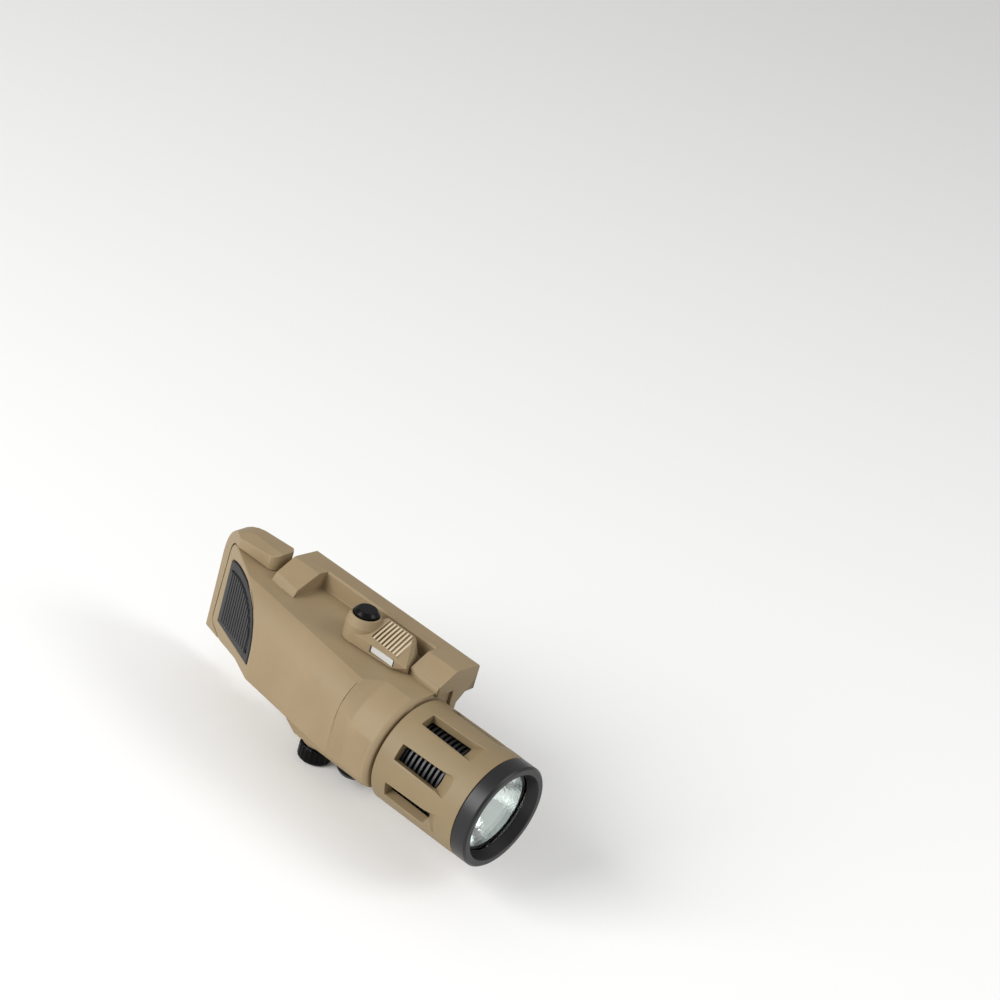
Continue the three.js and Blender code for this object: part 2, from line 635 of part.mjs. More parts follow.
const light = new THREE.Group();
light.position.set(49.6, -seatY, -railZ);

function place(name, body, finish) {
  const mesh = new THREE.Mesh(toGeometry(body), new THREE.MeshStandardMaterial(finishes[finish]));
  mesh.name = name;
  light.add(mesh);
}

place('main_body', mainBody(), 'tan');
place('thread_insert', threadInsert(), 'brass');
place('neck_o_ring', ringX(13.25, 0.4, -33.4), 'rubber');
place('tail_spring', coilX(4.2, 0.35, -90.2, -93.4, 3, cellAxisY, 3.2), 'steel');
place('tail_contact', tailContact(), 'brass');
place('cell_front', cell(cellFrontX), 'cellWrap');
place('cell_rear', cell(cellFrontX - cellLength - 0.1), 'cellWrap');

place('bezel_ring', bezelRing(), 'blackAnodised');
place('lens', lens(), 'glass');
place('lens_o_ring', ringX(13.2, 0.6, -6.3), 'rubber');
place('reflector', reflector(), 'mirror');
place('led_emitter', ledEmitter(), 'emitter');
place('led_board', ledBoard(), 'board');
place('heat_sink', heatSink(), 'blackAnodised');
place('driver_board', driverBoard(), 'board');
place('front_contact', frontContact(), 'brass');
place('head_shroud', headShroud(), 'tan');

place('pad_surround', padSurround(), 'rubber');
place('button_pad', buttonPad(), 'rubber');
place('switch_plunger', switchPlunger(), 'blackPlastic');
place('tact_switch', tactSwitch(), 'blackPlastic');
place('switch_board', switchBoard(), 'board');
place('bail', bail(), 'tan');
place('bail_pin_upper', rodZ(1.2, bailX, bailY, 12, 20.4, 24), 'steel');
place('bail_pin_lower', rodZ(1.2, bailX, bailY, -16.2, -9.4, 24), 'steel');

place('lock_lever', leverBody(), 'tan');
place('lever_label', leverLabel(), 'white');
place('lever_shaft', leverShaft(), 'steel');
place('lever_screw', leverScrew(), 'steel');
place('lock_button', lockButton(), 'blackPlastic');
place('lock_spring', lockSpring(), 'steel');
place('detent_ball', solid(new THREE.SphereGeometry(1, 16, 10).translate(leverX - 4, leverY, 16)), 'steel');
place('detent_spring', rodZ(0.8, leverX - 4, leverY, 13.4, 14.9, 16), 'steel');
place('recoil_lug', recoilLug(), 'steel');

place('clamp_jaw', clampJaw(), 'tan');
place('thumb_screw', thumbScrew(), 'steel');
place('knob_washer', knobWasher(), 'steel');
place('thumb_knob', thumbKnob(), 'blackPlastic');
place('guide_screw', guideScrew(), 'blackAnodised');
place('jaw_spring', jawSpring(), 'steel');

export default light;
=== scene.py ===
import json
import math

import bmesh
import bpy
from mathutils import Matrix, Vector


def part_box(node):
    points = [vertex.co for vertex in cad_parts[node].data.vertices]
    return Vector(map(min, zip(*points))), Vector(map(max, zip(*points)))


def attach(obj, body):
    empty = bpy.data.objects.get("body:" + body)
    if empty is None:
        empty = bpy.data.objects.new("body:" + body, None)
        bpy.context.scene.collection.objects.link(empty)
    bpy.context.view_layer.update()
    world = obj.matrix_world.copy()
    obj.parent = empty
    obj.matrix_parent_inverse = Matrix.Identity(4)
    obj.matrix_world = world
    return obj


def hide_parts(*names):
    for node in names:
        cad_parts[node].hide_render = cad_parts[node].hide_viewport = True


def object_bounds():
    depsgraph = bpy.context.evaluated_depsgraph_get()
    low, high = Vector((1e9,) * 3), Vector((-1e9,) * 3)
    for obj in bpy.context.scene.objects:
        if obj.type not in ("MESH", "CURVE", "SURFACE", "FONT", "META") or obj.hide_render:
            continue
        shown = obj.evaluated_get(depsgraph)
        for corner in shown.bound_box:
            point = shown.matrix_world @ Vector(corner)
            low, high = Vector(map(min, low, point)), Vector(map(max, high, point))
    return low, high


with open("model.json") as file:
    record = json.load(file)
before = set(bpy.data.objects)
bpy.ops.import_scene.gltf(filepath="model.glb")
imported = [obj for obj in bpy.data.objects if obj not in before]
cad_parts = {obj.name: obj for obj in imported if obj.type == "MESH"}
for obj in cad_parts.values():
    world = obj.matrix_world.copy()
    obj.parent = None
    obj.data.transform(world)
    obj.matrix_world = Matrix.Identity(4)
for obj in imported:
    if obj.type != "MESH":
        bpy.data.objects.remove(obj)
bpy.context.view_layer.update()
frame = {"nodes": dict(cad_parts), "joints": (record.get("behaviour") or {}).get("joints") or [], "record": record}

mm = 0.001
print("frame loaded:", len(frame["nodes"]), "CAD pieces")

bodyOf = {}
slotOf = {row["node"]: row["material_slot"] for row in frame["record"]["subparts"]}
for bodyName, members in frame["record"]["behaviour"]["bodies"].items():
    for member in members:
        bodyOf[member] = bodyName


# Shader helpers

def addNode(tree, kind, at=(0, 0), **settings):
    node = tree.nodes.new(kind)
    node.location = at
    for key, value in settings.items():
        setattr(node, key, value)
    return node


def setInputs(node, **values):
    for key, value in values.items():
        node.inputs[key.replace("_", " ")].default_value = value
    return node


def newGroup(name, inputs, outputs):
    group = bpy.data.node_groups.new(name, "ShaderNodeTree")
    for label, kind, value in inputs:
        socket = group.interface.new_socket(label, in_out="INPUT", socket_type=kind)
        socket.default_value = value
    for label, kind in outputs:
        group.interface.new_socket(label, in_out="OUTPUT", socket_type=kind)
    start = addNode(group, "NodeGroupInput", (-900, 0))
    end = addNode(group, "NodeGroupOutput", (900, 0))
    return group, start, end


grainLook = {
    "pitShare": 0.55,  # weight of the round pits beside the finer noise
    "speckCore": 0.035,  # radii in cell widths, from solid to gone
    "speckRim": 0.06,
    "bareCells": 0.8,  # share of cells with no speck in them
}


# Moulded grain: fine spark-eroded pits, a soft cloud of tone, and a few pale specks of dust
def mouldGrain():
    group, start, end = newGroup(
        "mouldGrain",
        [("Grain Size", "NodeSocketFloat", 0.25), ("Cloud Size", "NodeSocketFloat", 18.0),
         ("Speck Size", "NodeSocketFloat", 2.4)],
        [("Height", "NodeSocketFloat"), ("Cloud", "NodeSocketFloat"), ("Specks", "NodeSocketFloat")])
    links = group.links
    place = addNode(group, "ShaderNodeTexCoord", (-900, 300))

    # A size in millimetres becomes a texture scale, which counts cells in a metre
    def perMetre(label, y):
        turn = addNode(group, "ShaderNodeMath", (-650, y), operation="DIVIDE")
        turn.inputs[0].default_value = 1 / mm
        links.new(start.outputs[label], turn.inputs[1])
        return turn.outputs[0]

    grain = addNode(group, "ShaderNodeTexNoise", (-400, 300))
    setInputs(grain, Detail=3.0, Roughness=0.6)
    links.new(place.outputs["Object"], grain.inputs["Vector"])
    links.new(perMetre("Grain Size", 300), grain.inputs["Scale"])
    pits = addNode(group, "ShaderNodeTexVoronoi", (-400, 100), feature="SMOOTH_F1")
    links.new(place.outputs["Object"], pits.inputs["Vector"])
    links.new(perMetre("Grain Size", 100), pits.inputs["Scale"])
    height = addNode(group, "ShaderNodeMath", (-100, 250), operation="MULTIPLY_ADD")
    height.inputs[1].default_value = grainLook["pitShare"]
    links.new(pits.outputs["Distance"], height.inputs[0])
    links.new(grain.outputs["Fac"], height.inputs[2])
    links.new(height.outputs[0], end.inputs["Height"])

    cloud = addNode(group, "ShaderNodeTexNoise", (-400, -100))
    setInputs(cloud, Detail=4.0, Roughness=0.55)
    links.new(place.outputs["Object"], cloud.inputs["Vector"])
    links.new(perMetre("Cloud Size", -100), cloud.inputs["Scale"])
    links.new(cloud.outputs["Fac"], end.inputs["Cloud"])

    specks = addNode(group, "ShaderNodeTexVoronoi", (-400, -350), feature="F1")
    links.new(place.outputs["Object"], specks.inputs["Vector"])
    links.new(perMetre("Speck Size", -350), specks.inputs["Scale"])
    dot = addNode(group, "ShaderNodeMapRange", (-150, -350))
    setInputs(dot, From_Min=grainLook["speckCore"], From_Max=grainLook["speckRim"],
              To_Min=1.0, To_Max=0.0)
    links.new(specks.outputs["Distance"], dot.inputs["Value"])
    chosen = addNode(group, "ShaderNodeMath", (-150, -550), operation="GREATER_THAN")
    chosen.inputs[1].default_value = grainLook["bareCells"]
    links.new(specks.outputs["Color"], chosen.inputs[0])
    both = addNode(group, "ShaderNodeMath", (100, -400), operation="MULTIPLY")
    links.new(dot.outputs["Result"], both.inputs[0])
    links.new(chosen.outputs[0], both.inputs[1])
    links.new(both.outputs[0], end.inputs["Specks"])
    return group


edgeLook = {
    "samples": 4,
    "flatCosine": 0.995,  # cosine between the rounded and the true normal: no painted edge highlight above this
    "sharpCosine": 0.9,  # and the full painted edge highlight below this
    "patchScale": 700.0,
}


# Edge mask for the painted edge highlight: one on an edge's own line and fading out within the width, broken up by
# a noise
def edgeMask():
    group, start, end = newGroup(
        "edgeMask",
        [("Width", "NodeSocketFloat", 0.3), ("Break Up", "NodeSocketFloat", 0.5)],
        [("Mask", "NodeSocketFloat")])
    links = group.links
    inMetres = addNode(group, "ShaderNodeMath", (-650, 100), operation="MULTIPLY")
    inMetres.inputs[1].default_value = mm
    links.new(start.outputs["Width"], inMetres.inputs[0])
    rounded = addNode(group, "ShaderNodeBevel", (-400, 100), samples=edgeLook["samples"])
    links.new(inMetres.outputs[0], rounded.inputs["Radius"])
    surface = addNode(group, "ShaderNodeNewGeometry", (-400, -100))
    agree = addNode(group, "ShaderNodeVectorMath", (-150, 0), operation="DOT_PRODUCT")
    links.new(rounded.outputs[0], agree.inputs[0])
    links.new(surface.outputs["Normal"], agree.inputs[1])
    sharp = addNode(group, "ShaderNodeMapRange", (80, 0))
    setInputs(sharp, From_Min=edgeLook["flatCosine"], From_Max=edgeLook["sharpCosine"],
              To_Min=0.0, To_Max=1.0)
    links.new(agree.outputs["Value"], sharp.inputs["Value"])
    place = addNode(group, "ShaderNodeTexCoord", (-400, -300))
    patchy = addNode(group, "ShaderNodeTexNoise", (-150, -300))
    setInputs(patchy, Scale=edgeLook["patchScale"], Detail=3.0)
    links.new(place.outputs["Object"], patchy.inputs["Vector"])
    fade = addNode(group, "ShaderNodeMix", (80, -300), data_type="FLOAT")
    fade.inputs["A"].default_value = 1.0
    links.new(start.outputs["Break Up"], fade.inputs["Factor"])
    links.new(patchy.outputs["Fac"], fade.inputs["B"])
    both = addNode(group, "ShaderNodeMath", (350, 0), operation="MULTIPLY")
    links.new(sharp.outputs["Result"], both.inputs[0])
    links.new(fade.outputs["Result"], both.inputs[1])
    links.new(both.outputs[0], end.inputs["Mask"])
    return group


# Lathe lines: fine rings about the line along X that passes through Centre
def latheLines():
    group, start, end = newGroup(
        "latheLines",
        [("Pitch", "NodeSocketFloat", 0.12), ("Centre", "NodeSocketVector", (0, 0, 0))],
        [("Height", "NodeSocketFloat")])
    links = group.links
    place = addNode(group, "ShaderNodeTexCoord", (-900, 200))
    moved = addNode(group, "ShaderNodeVectorMath", (-700, 100), operation="SUBTRACT")
    links.new(place.outputs["Object"], moved.inputs[0])
    links.new(start.outputs["Centre"], moved.inputs[1])
    parts = addNode(group, "ShaderNodeSeparateXYZ", (-500, 100))
    links.new(moved.outputs[0], parts.inputs[0])
    flat = addNode(group, "ShaderNodeCombineXYZ", (-500, -100))
    links.new(parts.outputs["Y"], flat.inputs["Y"])
    links.new(parts.outputs["Z"], flat.inputs["Z"])
    radius = addNode(group, "ShaderNodeVectorMath", (-300, -100), operation="LENGTH")
    links.new(flat.outputs[0], radius.inputs[0])
    along = addNode(group, "ShaderNodeMath", (-100, 0), operation="ADD")
    links.new(parts.outputs["X"], along.inputs[0])
    links.new(radius.outputs["Value"], along.inputs[1])
    turns = addNode(group, "ShaderNodeMath", (-300, 250), operation="DIVIDE")
    turns.inputs[0].default_value = 1 / mm
    links.new(start.outputs["Pitch"], turns.inputs[1])
    lines = addNode(group, "ShaderNodeTexNoise", (100, 100), noise_dimensions="1D")
    setInputs(lines, Detail=4.0, Roughness=0.7)
    links.new(along.outputs[0], lines.inputs["W"])
    links.new(turns.outputs[0], lines.inputs["Scale"])
    links.new(lines.outputs["Fac"], end.inputs["Height"])
    return group


groups = {"grain": mouldGrain(), "edge": edgeMask(), "lathe": latheLines()}


def linear(hexColour):
    parts = [int(hexColour[i:i + 2], 16) / 255 for i in (0, 2, 4)]
    return tuple(c / 12.92 if c <= 0.04045 else ((c + 0.055) / 1.055) ** 2.4 for c in parts) + (1,)


cloudFrom = 0.3  # the cloud noise between these two is spread over a finish's whole range
cloudTo = 0.7
dustColour = "e6dcc8"


# A surface finish: two tones clouded together, a painted highlight along the edges, specks, and a grain bump.
# Sizes, widths and depths are in millimetres; plain holds the values that are the same all over.
def finish(name, tone, deep, edge, roughness, roughSpread=0.08, grainSize=0.25, cloudSize=18,
           grainDepth=0.02, edgeWidth=0.3, edgeAmount=0.5, specks=0.0, lathe=None, plain=None):
    material = bpy.data.materials.new(name)
    material.use_nodes = True
    tree = material.node_tree
    links = tree.links
    shader = tree.nodes["Principled BSDF"]
    for label, value in (plain or {}).items():
        shader.inputs[label].default_value = value
    grain = addNode(tree, "ShaderNodeGroup", (-900, 0), node_tree=groups["grain"])
    setInputs(grain, Grain_Size=grainSize, Cloud_Size=cloudSize)
    edges = addNode(tree, "ShaderNodeGroup", (-900, 300), node_tree=groups["edge"])
    setInputs(edges, Width=edgeWidth)
    tones = addNode(tree, "ShaderNodeMix", (-600, 200), data_type="RGBA")
    tones.inputs["A"].default_value = linear(deep)
    tones.inputs["B"].default_value = linear(tone)
    spread = addNode(tree, "ShaderNodeMapRange", (-750, 0))
    setInputs(spread, From_Min=cloudFrom, From_Max=cloudTo)
    links.new(grain.outputs["Cloud"], spread.inputs["Value"])
    links.new(spread.outputs["Result"], tones.inputs["Factor"])
    amount = addNode(tree, "ShaderNodeMath", (-650, 400), operation="MULTIPLY")
    amount.inputs[1].default_value = edgeAmount
    links.new(edges.outputs["Mask"], amount.inputs[0])
    # painted highlight: the paler edge colour is mixed in along the edges, standing in for light caught on them
    edgeHighlight = addNode(tree, "ShaderNodeMix", (-400, 200), data_type="RGBA")
    edgeHighlight.inputs["B"].default_value = linear(edge)
    links.new(amount.outputs[0], edgeHighlight.inputs["Factor"])
    links.new(tones.outputs["Result"], edgeHighlight.inputs["A"])
    colour = edgeHighlight.outputs["Result"]
    if specks:
        dusty = addNode(tree, "ShaderNodeMix", (-200, 200), data_type="RGBA")
        dusty.inputs["B"].default_value = linear(dustColour)
        faint = addNode(tree, "ShaderNodeMath", (-400, 0), operation="MULTIPLY")
        faint.inputs[1].default_value = specks
        links.new(grain.outputs["Specks"], faint.inputs[0])
        links.new(faint.outputs[0], dusty.inputs["Factor"])
        links.new(colour, dusty.inputs["A"])
        colour = dusty.outputs["Result"]
    links.new(colour, shader.inputs["Base Color"])
    rough = addNode(tree, "ShaderNodeMapRange", (-400, -200))
    setInputs(rough, From_Min=cloudFrom, From_Max=cloudTo, To_Min=roughness - roughSpread,
              To_Max=roughness + roughSpread)
    links.new(grain.outputs["Cloud"], rough.inputs["Value"])
    links.new(rough.outputs["Result"], shader.inputs["Roughness"])
    height = grain.outputs["Height"]
    if lathe:
        rings = addNode(tree, "ShaderNodeGroup", (-900, -400), node_tree=groups["lathe"])
        setInputs(rings, Pitch=lathe["pitch"], Centre=lathe["centre"])
        height = rings.outputs["Height"]
    bump = addNode(tree, "ShaderNodeBump", (-200, -400))
    setInputs(bump, Strength=1.0, Distance=grainDepth * mm)
    links.new(height, bump.inputs["Height"])
    links.new(bump.outputs["Normal"], shader.inputs["Normal"])
    return material


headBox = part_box("head_shroud")
headAxis = Vector((0, (headBox[0].y + headBox[1].y) / 2, (headBox[0].z + headBox[1].z) / 2))

finishLooks = {
    "tanPolymer": {
        "tone": "958263", "deep": "8d7a5c", "edge": "b09c7b", "roughness": 0.56, "specks": 0.3,
        "edgeAmount": 0.5, "edgeWidth": 0.35, "grainDepth": 0.03, "plain": {"Specular IOR Level": 0.42}},
    "headPolymer": {
        "tone": "8b795a", "deep": "837153", "edge": "a8946f", "roughness": 0.54, "specks": 0.2,
        "edgeAmount": 0.5, "edgeWidth": 0.35, "grainDepth": 0.03, "plain": {"Specular IOR Level": 0.42}},
    "ribPolymer": {
        "tone": "cdbfa6", "deep": "bcab8d", "edge": "ddd2be", "roughness": 0.5,
        "edgeAmount": 0.5, "edgeWidth": 0.2, "grainDepth": 0.02},
    "blackAnodised": {
        "tone": "252425", "deep": "201f20", "edge": "434343", "roughness": 0.36, "roughSpread": 0.04,
        "grainDepth": 0.012, "edgeAmount": 0.6, "edgeWidth": 0.2,
        "lathe": {"pitch": 0.35, "centre": headAxis},
        "plain": {"Metallic": 0.2, "Specular IOR Level": 0.4}},
    "finAnodised": {
        "tone": "252426", "deep": "1d1c1e", "edge": "6a696c", "roughness": 0.32,
        "grainDepth": 0.008, "edgeAmount": 0.8, "edgeWidth": 0.15, "plain": {"Metallic": 0.4}},
    "padRubber": {
        "tone": "2a292a", "deep": "242325", "edge": "464546", "roughness": 0.62, "specks": 0.35,
        "grainSize": 0.2, "grainDepth": 0.02, "edgeAmount": 0.5, "edgeWidth": 0.2,
        "plain": {"Specular IOR Level": 0.4}},
    "glossBlack": {
        "tone": "080808", "deep": "060606", "edge": "2a2a2a", "roughness": 0.24, "roughSpread": 0.05,
        "grainSize": 0.5, "grainDepth": 0.006, "edgeAmount": 0.5, "edgeWidth": 0.15, "specks": 0.2,
        "plain": {"Specular IOR Level": 0.14}},
    "plainLabel": {
        "tone": "cfcfcd", "deep": "c8c8c6", "edge": "dededc", "roughness": 0.5,
        "grainSize": 0.15, "grainDepth": 0.006, "edgeAmount": 0.3},
    "drawnSteel": {
        "tone": "8f9092", "deep": "7f8082", "edge": "b4b5b6", "roughness": 0.34,
        "grainSize": 0.3, "grainDepth": 0.006, "edgeAmount": 0.4, "plain": {"Metallic": 1.0}},
    "plainBrass": {
        "tone": "b08d49", "deep": "a07e3e", "edge": "d2b578", "roughness": 0.32,
        "grainSize": 0.3, "grainDepth": 0.006, "edgeAmount": 0.4, "plain": {"Metallic": 1.0}},
    "solderMask": {
        "tone": "1f5a34", "deep": "194c2b", "edge": "3d7a52", "roughness": 0.35,
        "grainSize": 0.4, "grainDepth": 0.01},
    "cellWrap": {
        "tone": "33456e", "deep": "2b3b60", "edge": "52648e", "roughness": 0.35,
        "grainSize": 1.5, "grainDepth": 0.02},
    "phosphor": {
        "tone": "e6d25a", "deep": "d8c24c", "edge": "f2e58c", "roughness": 0.3,
        "grainSize": 0.3, "grainDepth": 0.01},
}


# A finish with no painted edge highlight, for glass and mirror: two faint tints and a slight change of gloss,
# with a fine orange peel where peelDepth is given, which breaks the reflections up
def clearFinish(name, tints, gloss, grainSize, cloudSize, plain, peelDepth=0.0):
    material = bpy.data.materials.new(name)
    material.use_nodes = True
    tree = material.node_tree
    links = tree.links
    shader = tree.nodes["Principled BSDF"]
    for label, value in plain.items():
        shader.inputs[label].default_value = value
    grain = addNode(tree, "ShaderNodeGroup", (-700, 0), node_tree=groups["grain"])
    setInputs(grain, Grain_Size=grainSize, Cloud_Size=cloudSize)
    tint = addNode(tree, "ShaderNodeMix", (-400, 100), data_type="RGBA")
    tint.inputs["A"].default_value = linear(tints[0])
    tint.inputs["B"].default_value = linear(tints[1])
    links.new(grain.outputs["Cloud"], tint.inputs["Factor"])
    links.new(tint.outputs["Result"], shader.inputs["Base Color"])
    rough = addNode(tree, "ShaderNodeMapRange", (-400, -150))
    setInputs(rough, To_Min=gloss[0], To_Max=gloss[1])
    links.new(grain.outputs["Cloud"], rough.inputs["Value"])
    links.new(rough.outputs["Result"], shader.inputs["Roughness"])
    if peelDepth:
        bump = addNode(tree, "ShaderNodeBump", (-200, -400))
        setInputs(bump, Strength=1.0, Distance=peelDepth * mm)
        links.new(grain.outputs["Height"], bump.inputs["Height"])
        links.new(bump.outputs["Normal"], shader.inputs["Normal"])
    return material


clearLooks = {
    "lensGlass": {
        "tints": ("f1f8f4", "f8fcfa"), "gloss": (0.0, 0.03), "grainSize": 2.0, "cloudSize": 9.0,
        "plain": {"Transmission Weight": 1.0, "IOR": 1.5, "Metallic": 0.0}},
    "mirrorBowl": {
        "tints": ("eceff0", "f7f9f9"), "gloss": (0.03, 0.1), "grainSize": 0.9, "cloudSize": 6.0,
        "peelDepth": 0.06, "plain": {"Metallic": 1.0}},
}
finishes = {name: finish(name, **look) for name, look in finishLooks.items()}
finishes.update({name: clearFinish(name, **look) for name, look in clearLooks.items()})

finishOfSlot = {
    "tan_polymer": "tanPolymer", "black_anodised": "blackAnodised", "rubber": "padRubber",
    "black_plastic": "glossBlack", "label": "plainLabel", "lens_glass": "lensGlass",
    "reflector": "mirrorBowl", "steel": "drawnSteel", "brass": "plainBrass",
    "circuit_board": "solderMask", "emitter": "phosphor", "cell_wrap": "cellWrap",
}
for nodeName, piece in frame["nodes"].items():
    for place in piece.material_slots:
        place.material = finishes[finishOfSlot[slotOf[nodeName]]]
print("finishes made:", len(finishes))


# Pieces

# Hands a finished mesh over: object at the origin, riding with its CAD node's body and standing for it
def standIn(name, bm, node, finishName):
    for face in bm.faces:
        face.smooth = True
    mesh = bpy.data.meshes.new(name)
    bm.to_mesh(mesh)
    bm.free()
    piece = bpy.data.objects.new(name, mesh)
    bpy.context.scene.collection.objects.link(piece)
    mesh.materials.append(finishes[finishName])
    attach(piece, bodyOf[node])
    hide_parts(node)
    even = piece.modifiers.new("even", "WEIGHTED_NORMAL")
    even.keep_sharp = True
    return piece


def turnOf(edge):
    return math.degrees(edge.calc_face_angle()) if len(edge.link_faces) == 2 else 0


def middleOf(edge):
    return (edge.verts[0].co + edge.verts[1].co) / (2 * mm)


# What any piece takes unless its own settings say otherwise, in millimetres and degrees
usualLook = {
    "width": 0.25,
    "segments": 2,
    "edgeAngle": 25,  # edges that turn more than this are rounded
    "creaseAngle": 14,  # edges that turn less than this are shaded smooth
    "shortest": 0.0,  # edges up to this long stay sharp
}
mending = {"mergeWithin": 0.008, "dropUnder": 0.02, "flatAngle": 0.6}


# A CAD node's own shape with its triangles merged and its hard edges rounded over. firstRounds
# pairs a test on an edge with the wider rounding that the edges passing it take before the rest,
# and keepSharp is a test on an edge's middle, in millimetres, for the edges that aren't rounded.
def softened(name, node, finishName, ownLook, keepSharp=None, firstRounds=(), paint=None):
    look = {**usualLook, **ownLook}
    bm = bmesh.new()
    bm.from_mesh(frame["nodes"][node].data)
    bmesh.ops.remove_doubles(bm, verts=bm.verts, dist=mending["mergeWithin"] * mm)
    bmesh.ops.dissolve_degenerate(bm, edges=bm.edges, dist=mending["dropUnder"] * mm)
    bmesh.ops.dissolve_limit(
        bm, angle_limit=math.radians(mending["flatAngle"]), verts=bm.verts, edges=bm.edges)
    if paint:
        paint["cut"](bm)
    for edge in bm.edges:
        edge.smooth = turnOf(edge) < look["creaseAngle"]
    done = bm.edges.layers.int.new("rounded")

    def roundOver(edges, offset, steps):
        made = bmesh.ops.bevel(
            bm, geom=edges, offset=offset * mm, offset_type="OFFSET", segments=steps, profile=0.5,
            affect="EDGES", clamp_overlap=False, material=-1, loop_slide=True)
        for face in made["faces"]:
            for edge in face.edges:
                edge.smooth = True
                edge[done] = 1

    def isHard(edge):
        return (turnOf(edge) > look["edgeAngle"] and not edge[done]
                and edge.calc_length() > look["shortest"] * mm
                and not (keepSharp and keepSharp(middleOf(edge))))

    for passes, offset, steps in firstRounds:
        roundOver([e for e in bm.edges if turnOf(e) > look["creaseAngle"] and passes(e)], offset, steps)
    if look["width"]:
        roundOver([e for e in bm.edges if isHard(e)], look["width"], look["segments"])
    if paint:
        for face in bm.faces:
            face.material_index = 1 if paint["picks"](face) else 0
    bmesh.ops.triangulate(bm, faces=[f for f in bm.faces if len(f.verts) > 4])
    piece = standIn(name, bm, node, finishName)
    if paint:
        piece.data.materials.append(finishes[paint["finish"]])
    return piece


# Body shell: the rim of its slanted button face is rounded more than its other edges. The edges at
# the deck's front end and in the rail channel lie too close together to round, and stay sharp.
bodyLook = {
    "width": 0.2, "edgeAngle": 20, "shortest": 0.5,
    "faceWidth": 0.45, "faceSteps": 3, "faceSlack": 0.05,
    "deckFrom": {"x": -3.5, "y": -8.5, "z": 12},
    "channel": {"yFrom": -1.5, "yTo": 6.5, "zTop": 10.9},
}
buttonAxis = next(joint["axis"] for joint in frame["joints"] if joint["name"] == "button_press")
padOut = -Vector(buttonAxis).normalized()
padLevel = max(padOut.dot(v.co) for v in frame["nodes"]["main_body"].data.vertices)


def onPadFace(edge):
    return all(abs(padOut.dot(v.co) - padLevel) < bodyLook["faceSlack"] * mm for v in edge.verts)


def isCrowded(at):
    deck = bodyLook["deckFrom"]
    channel = bodyLook["channel"]
    onDeckFront = at.x > deck["x"] and at.y < deck["y"] and at.z > deck["z"]
    return onDeckFront or (channel["yFrom"] < at.y < channel["yTo"] and at.z < channel["zTop"])


softened("bodyShell", "main_body", "tanPolymer", bodyLook, keepSharp=isCrowded,
         firstRounds=[(onPadFace, bodyLook["faceWidth"], bodyLook["faceSteps"])])

# Head shroud: the ramps in front of its windows run out too finely to round
shroudLook = {"width": 0.15, "edgeAngle": 40, "rampsFromRear": 21.6, "rampsToFront": 2.6}


def isRampEnd(at):
    rear = headBox[0].x / mm + shroudLook["rampsFromRear"]
    front = headBox[1].x / mm - shroudLook["rampsToFront"]
    return rear < at.x < front


softened("headShroud", "head_shroud", "headPolymer", shroudLook, keepSharp=isRampEnd)

bailLook = {"width": 0.2, "shortest": 0.3}
softened("guardBail", "bail", "tanPolymer", bailLook)

# Lock lever: the upward-facing tops of its ribs are coloured a paler cream
leverLook = {
    "width": 0.1, "shortest": 0.25,
    "ribFrom": (-11.6, -12.0), "ribTo": (1.2, -4.6),
    "slope": Vector((0, -0.495, 0.869)),  # square to the slanted top that carries the ribs
    "ribLevel": 21.2,  # rib tops lie further along the slope than this
    "faceUp": 0.5,
}


# Cuts the lever's faces across where the pale tops stop at their lower end
def cutRibFoot(bm):
    everything = list(bm.verts) + list(bm.edges) + list(bm.faces)
    bmesh.ops.bisect_plane(bm, geom=everything, plane_co=(0, leverLook["ribFrom"][1] * mm, 0),
                           plane_no=(0, 1, 0), dist=0.001 * mm)


def isRibTop(face):
    at = face.calc_center_median() / mm
    inside = (leverLook["ribFrom"][0] < at.x < leverLook["ribTo"][0]
              and leverLook["ribFrom"][1] < at.y < leverLook["ribTo"][1])
    raised = leverLook["slope"].dot(at) > leverLook["ribLevel"]
    return inside and face.normal.z > leverLook["faceUp"] and raised


softened("lockLever", "lock_lever", "tanPolymer", leverLook,
         paint={"cut": cutRibFoot, "picks": isRibTop, "finish": "ribPolymer"})

jawLook = {"width": 0.25}
softened("clampJaw", "clamp_jaw", "tanPolymer", jawLook)

padLook = {"width": 0.12}
softened("thumbPad", "button_pad", "padRubber", padLook)

padFrameLook = {"width": 0.15}
softened("padFrame", "pad_surround", "padRubber", padFrameLook)

capLook = {"width": 0.12, "edgeAngle": 30}
softened("lockCap", "lock_button", "glossBlack", capLook)

knobLook = {"width": 0.12}
softened("thumbKnob", "thumb_knob", "glossBlack", knobLook)

domeLook = {"width": 0.1, "edgeAngle": 40}
softened("guideDome", "guide_screw", "glossBlack", domeLook)

coreLook = {"width": 0.07, "edgeAngle": 40}
softened("finnedCore", "heat_sink", "finAnodised", coreLook)

bezelLook = {"width": 0.1, "edgeAngle": 30}
softened("frontBezel", "bezel_ring", "blackAnodised", bezelLook)

# Lens and bowl are only merged and shaded smooth
lensLook = {"width": 0}
softened("frontLens", "lens", "lensGlass", lensLook)

bowlLook = {"width": 0}
softened("reflectorBowl", "reflector", "mirrorBowl", bowlLook)

labelLook = {"width": 0.05}
softened("blankLabel", "lever_label", "plainLabel", labelLook)
print("pieces made")


# Stage: pale floor, soft studio light, camera

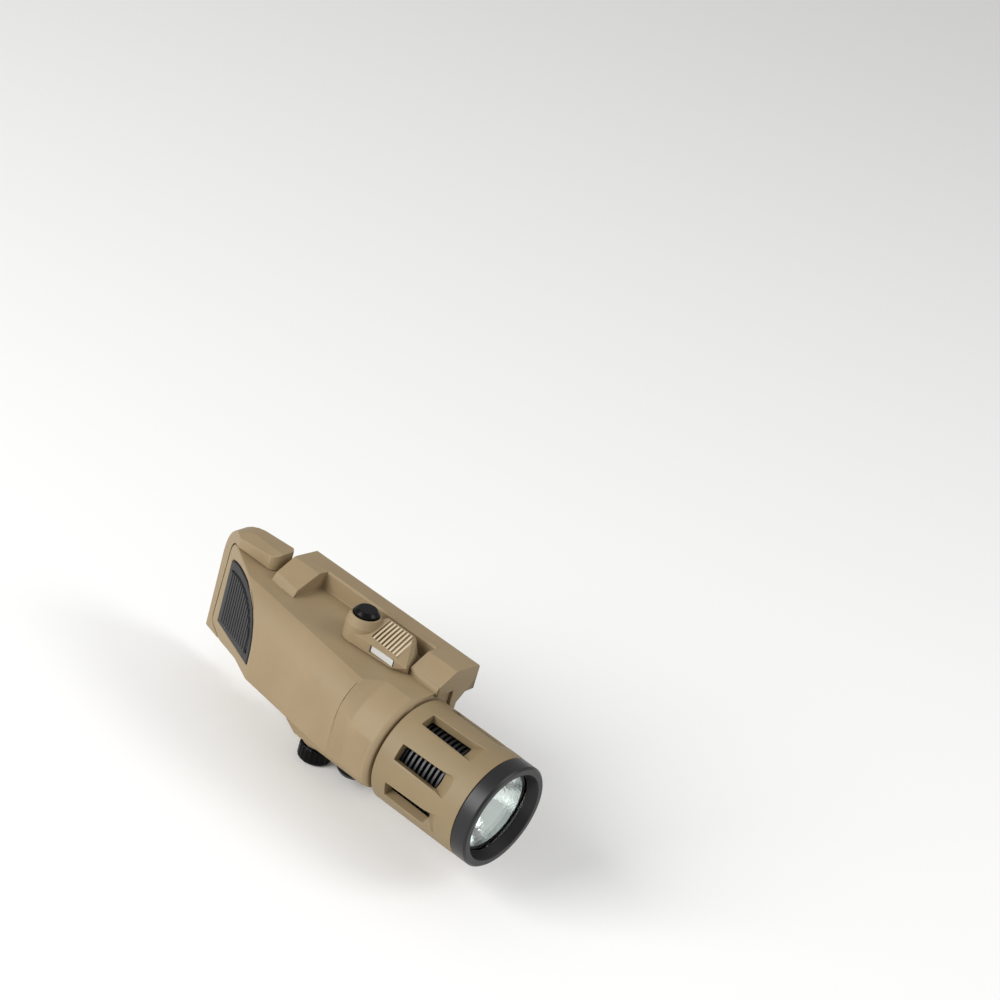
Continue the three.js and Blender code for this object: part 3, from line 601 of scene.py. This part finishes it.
# Metres and watts, apart from the camera's place and its lens, which are in millimetres
studio = {
    "floorSize": 6.0,
    "floorColour": "fafaf9",
    "floorRoughness": 0.9,
    "skyStrength": 0.52,
    "keyWatts": 12.0,
    "keySize": 0.7,
    "keyAt": (-0.4, -0.95, 0.6),
    "rimWatts": 3.0,
    "rimSize": 0.5,
    "rimAt": (0.75, 0.35, 0.7),
    "cameraAt": (344.68, -519.08, 393.48),
    "lookAlong": (-0.48182, 0.74474, -0.46175),
    "cameraRight": (0.73178, 0.63184, 0.25548),
    "lensLength": 92.8,
    "sensorWidth": 36,
}


def makeFloor():
    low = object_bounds()[0]
    bm = bmesh.new()
    bmesh.ops.create_grid(bm, x_segments=2, y_segments=2, size=studio["floorSize"] / 2)
    bmesh.ops.translate(bm, verts=bm.verts, vec=(0, 0, low[2]))
    mesh = bpy.data.meshes.new("floor")
    bm.to_mesh(mesh)
    bm.free()
    floor = bpy.data.objects.new("floor", mesh)
    bpy.context.scene.collection.objects.link(floor)
    paper = bpy.data.materials.new("palePaper")
    paper.use_nodes = True
    shader = paper.node_tree.nodes["Principled BSDF"]
    setInputs(shader, Base_Color=linear(studio["floorColour"]), Roughness=studio["floorRoughness"])
    mesh.materials.append(paper)


def addLight(name, at, size, watts):
    lamp = bpy.data.lights.new(name, "AREA")
    lamp.shape = "SQUARE"
    lamp.size = size
    lamp.energy = watts
    item = bpy.data.objects.new(name, lamp)
    bpy.context.scene.collection.objects.link(item)
    item.location = at
    item.rotation_euler = (-Vector(at)).to_track_quat("-Z", "Y").to_euler()


def makeWorld():
    world = bpy.data.worlds.new("studio")
    world.use_nodes = True
    sky = world.node_tree.nodes["Background"]
    sky.inputs["Color"].default_value = (1, 1, 1, 1)
    sky.inputs["Strength"].default_value = studio["skyStrength"]
    bpy.context.scene.world = world


def makeCamera():
    lens = bpy.data.cameras.new("camera")
    lens.lens = studio["lensLength"]
    lens.sensor_width = studio["sensorWidth"]
    camera = bpy.data.objects.new("camera", lens)
    bpy.context.scene.collection.objects.link(camera)
    right = Vector(studio["cameraRight"]).normalized()
    back = -Vector(studio["lookAlong"]).normalized()
    up = back.cross(right)
    turn = Matrix((right, up, back)).transposed().to_4x4()
    camera.matrix_world = Matrix.Translation(Vector(studio["cameraAt"]) * mm) @ turn
    bpy.context.scene.camera = camera


makeFloor()
addLight("key", studio["keyAt"], studio["keySize"], studio["keyWatts"])
addLight("rim", studio["rimAt"], studio["rimSize"], studio["rimWatts"])
makeWorld()
makeCamera()
bpy.context.scene.view_settings.view_transform = "Standard"
print("stage set")
